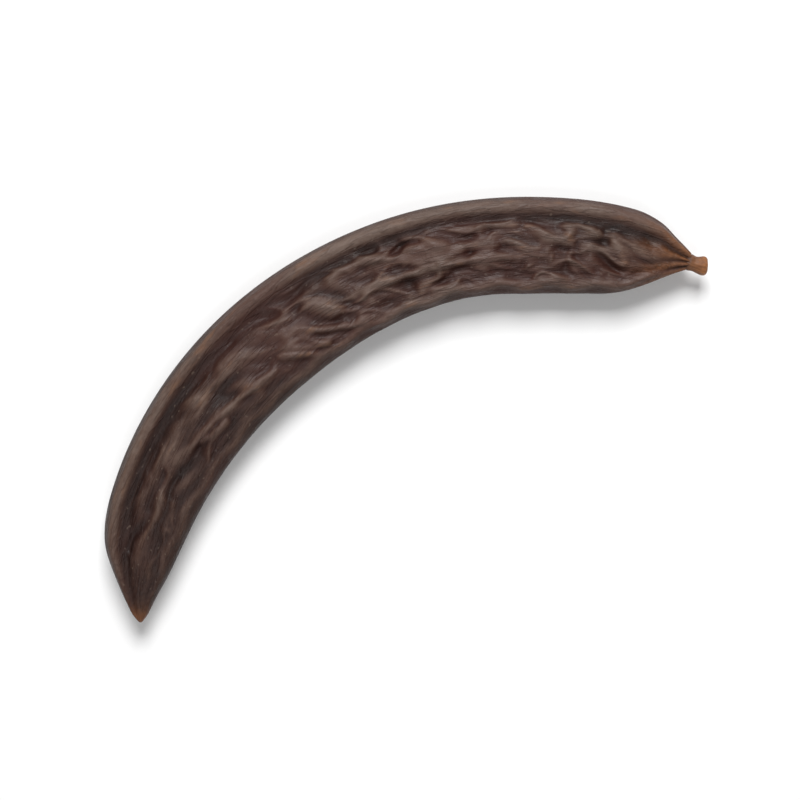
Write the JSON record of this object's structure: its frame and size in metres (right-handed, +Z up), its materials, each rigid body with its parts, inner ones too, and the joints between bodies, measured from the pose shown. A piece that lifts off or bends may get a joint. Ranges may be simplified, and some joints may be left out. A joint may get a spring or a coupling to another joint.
{
  "type": "carob pod",
  "caption": "Dried carob pod with the stub of its stalk: a long flat curved fruit with raised seam rims and wrinkled broad faces, lying on its side.",
  "frame": {"origin": "below the middle of the bounding box, on the surface that the pod lies on", "axes": "+X along the chord from the tip to the stalk, +Y towards the outer, convex seam, +Z up, out of the upper broad face"},
  "size_m": [0.1286, 0.0452, 0.0099],
  "materials": {
    "pod_skin": "satin dried skin, dark brown",
    "stalk_wood": "matte, orange brown"
  },
  "bodies": {
    "root": {"pod": "pod_skin", "stalk": "stalk_wood"}
  },
  "joints": []
}
